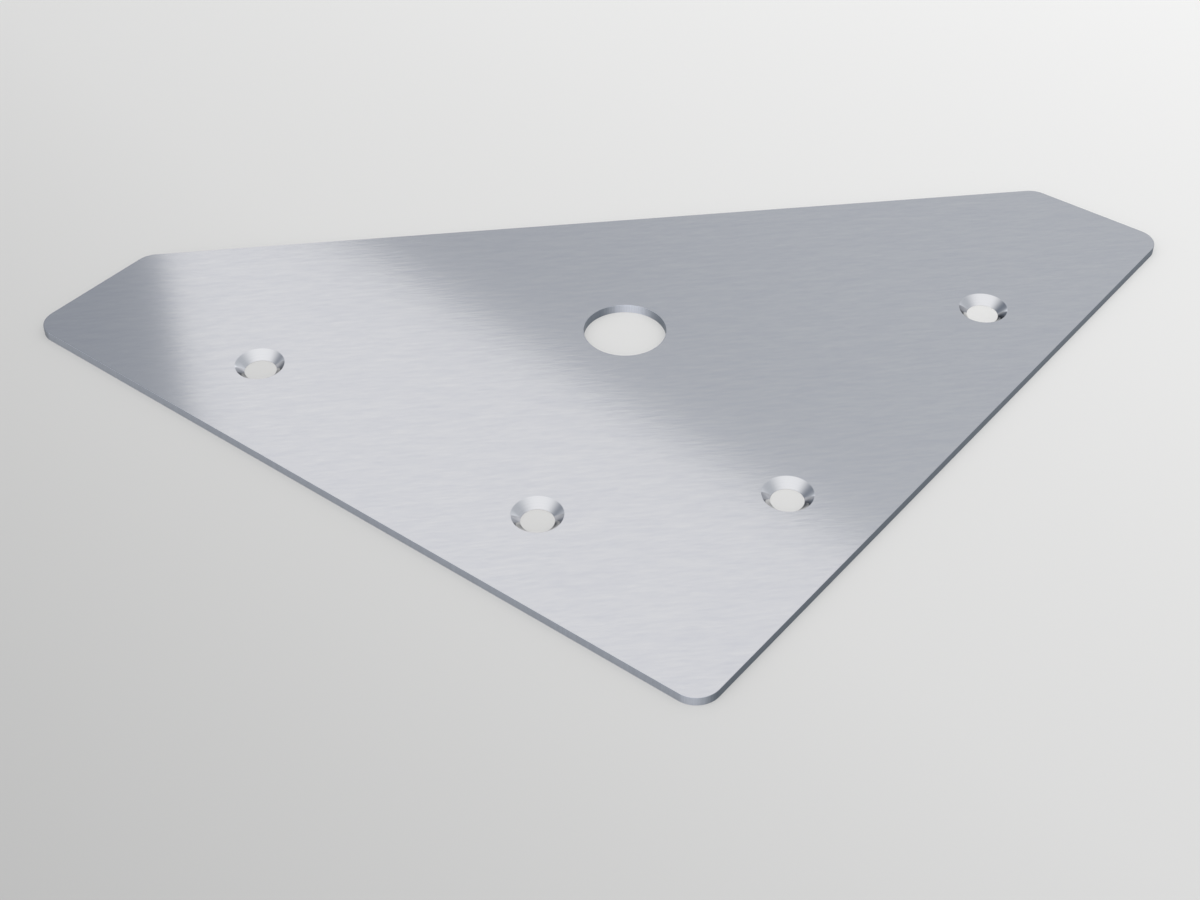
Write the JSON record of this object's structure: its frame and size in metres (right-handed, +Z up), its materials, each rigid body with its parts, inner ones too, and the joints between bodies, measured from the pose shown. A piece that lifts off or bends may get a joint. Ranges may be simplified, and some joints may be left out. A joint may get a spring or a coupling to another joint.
{
  "type": "flat corner plate",
  "caption": "Flat five-sided steel corner plate with rounded corners, countersunk screw holes along both outer edges and one large plain hole near the slanted edge.",
  "frame": {"origin": "on the underside, under the middle of the 137 mm square that the two outer edges span", "axes": "+Z up out of the countersunk face; +X and +Y along the two outer edges, away from the outer corner, which lies at -X -Y"},
  "size_m": [0.137, 0.137, 0.0015],
  "materials": {
    "brushed_steel": "fine straight brushing on the flat face, plain sheared edges and turned countersinks"
  },
  "bodies": {
    "root": {"corner_plate": "brushed_steel"}
  },
  "joints": []
}
